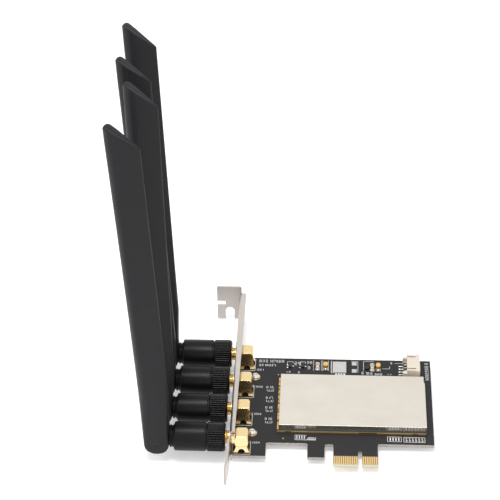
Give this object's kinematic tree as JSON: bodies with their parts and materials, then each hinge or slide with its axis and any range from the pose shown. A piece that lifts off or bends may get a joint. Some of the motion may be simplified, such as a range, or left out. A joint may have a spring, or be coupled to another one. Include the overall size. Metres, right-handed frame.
{
  "type": "pcie wifi card",
  "caption": "Add-in radio card with a slotted end bracket, gold right-angle jacks, shielded radio module, keyed contact edge and hinged paddle antennas.",
  "frame": {"origin": "on the seat of the bracket's bent tab, level with the middle of its screw notch", "axes": "+Z out of the component side of the board, +X from the bracket towards the board's free end, -Y towards the contact edge"},
  "size_m": [0.1389, 0.1201, 0.1903],
  "materials": {
    "board_laminate": "matte",
    "contact_gold": "polished",
    "bracket_steel": "satin",
    "screw_nickel": "polished",
    "jack_gold": "satin",
    "insulator_white": "matte",
    "pin_gold": "polished",
    "module_laminate": "matte",
    "shield_nickel": "satin",
    "chip_black": "matte",
    "header_ivory": "satin",
    "header_tin": "satin",
    "transistor_black": "matte",
    "tantalum_yellow": "satin",
    "ceramic_pink": "satin",
    "resistor_ceramic": "satin",
    "inductor_black": "satin",
    "grip_black": "satin",
    "insert_brass": "satin",
    "swivel_black": "satin",
    "plug_brass": "satin",
    "plug_pin_gold": "polished",
    "hinge_black": "satin",
    "paddle_black": "matte",
    "radiator_laminate": "matte"
  },
  "bodies": {
    "card": {"main_board": "board_laminate", "edge_contacts": "contact_gold", "bracket": "bracket_steel", "bracket_screws": "screw_nickel", "antenna_jack_1": "jack_gold", "antenna_jack_2": "jack_gold", "antenna_jack_3": "jack_gold", "antenna_jack_4": "jack_gold", "jack_insulators": "insulator_white", "jack_pins": "pin_gold", "module_board": "module_laminate", "module_shield": "shield_nickel", "module_chips": "chip_black", "header_housing": "header_ivory", "header_pins": "header_tin", "transistors": "transistor_black", "tantalum_capacitors": "tantalum_yellow", "ceramic_capacitors": "ceramic_pink", "resistors": "resistor_ceramic", "round_inductor": "inductor_black"},
    "nut_1": {"coupling_nut_1": "grip_black", "nut_insert_1": "insert_brass"},
    "swivel_1": {"swivel_body_1": "swivel_black", "plug_shell_1": "plug_brass", "plug_pin_1": "plug_pin_gold"},
    "paddle_1": {"paddle_front_1": "paddle_black", "paddle_back_1": "paddle_black", "hinge_pin_1": "hinge_black", "radiator_1": "radiator_laminate"},
    "nut_2": {"coupling_nut_2": "grip_black", "nut_insert_2": "insert_brass"},
    "swivel_2": {"swivel_body_2": "swivel_black", "plug_shell_2": "plug_brass", "plug_pin_2": "plug_pin_gold"},
    "paddle_2": {"paddle_front_2": "paddle_black", "paddle_back_2": "paddle_black", "hinge_pin_2": "hinge_black", "radiator_2": "radiator_laminate"},
    "nut_3": {"coupling_nut_3": "grip_black", "nut_insert_3": "insert_brass"},
    "swivel_3": {"swivel_body_3": "swivel_black", "plug_shell_3": "plug_brass", "plug_pin_3": "plug_pin_gold"},
    "paddle_3": {"paddle_front_3": "paddle_black", "paddle_back_3": "paddle_black", "hinge_pin_3": "hinge_black", "radiator_3": "radiator_laminate"},
    "nut_4": {"coupling_nut_4": "grip_black", "nut_insert_4": "insert_brass"},
    "swivel_4": {"swivel_body_4": "swivel_black", "plug_shell_4": "plug_brass", "plug_pin_4": "plug_pin_gold"},
    "paddle_4": {"paddle_front_4": "paddle_black", "paddle_back_4": "paddle_black", "hinge_pin_4": "hinge_black", "radiator_4": "radiator_laminate"}
  },
  "joints": [
    {"name": "nut_spin_1", "type": "hinge", "parent": "card", "child": "nut_1", "pos_m": [0.00515, -0.09549, -0.0034], "axis": [1, 0, 0], "continuous": true},
    {"name": "antenna_swivel_1", "type": "hinge", "parent": "card", "child": "swivel_1", "pos_m": [0.00515, -0.09549, -0.0034], "axis": [1, 0, 0], "range_deg": [-5.6, 86.4]},
    {"name": "paddle_tilt_1", "type": "hinge", "parent": "swivel_1", "child": "paddle_1", "pos_m": [-0.0282, -0.09549, -0.0034], "axis": [0, -0.998, -0.0628], "range_deg": [-2, 88]},
    {"name": "nut_spin_2", "type": "hinge", "parent": "card", "child": "nut_2", "pos_m": [0.00515, -0.07649, -0.0034], "axis": [1, 0, 0], "continuous": true},
    {"name": "antenna_swivel_2", "type": "hinge", "parent": "card", "child": "swivel_2", "pos_m": [0.00515, -0.07649, -0.0034], "axis": [1, 0, 0], "range_deg": [-2, 2]},
    {"name": "paddle_tilt_2", "type": "hinge", "parent": "swivel_2", "child": "paddle_2", "pos_m": [-0.0282, -0.07649, -0.0034], "axis": [0, -1, 0], "range_deg": [-0.4, 89.6]},
    {"name": "nut_spin_3", "type": "hinge", "parent": "card", "child": "nut_3", "pos_m": [0.00515, -0.05749, -0.0034], "axis": [1, 0, 0], "continuous": true},
    {"name": "antenna_swivel_3", "type": "hinge", "parent": "card", "child": "swivel_3", "pos_m": [0.00515, -0.05749, -0.0034], "axis": [1, 0, 0], "range_deg": [-2, 2]},
    {"name": "paddle_tilt_3", "type": "hinge", "parent": "swivel_3", "child": "paddle_3", "pos_m": [-0.0282, -0.05749, -0.0034], "axis": [0, -1, 0], "range_deg": [-2, 88]},
    {"name": "nut_spin_4", "type": "hinge", "parent": "card", "child": "nut_4", "pos_m": [0.00515, -0.03849, -0.0034], "axis": [1, 0, 0], "continuous": true},
    {"name": "antenna_swivel_4", "type": "hinge", "parent": "card", "child": "swivel_4", "pos_m": [0.00515, -0.03849, -0.0034], "axis": [1, 0, 0], "range_deg": [-87.2, 4.8]},
    {"name": "paddle_tilt_4", "type": "hinge", "parent": "swivel_4", "child": "paddle_4", "pos_m": [-0.0282, -0.03849, -0.0034], "axis": [0, -0.9988, 0.0488], "range_deg": [-2, 88]}
  ]
}
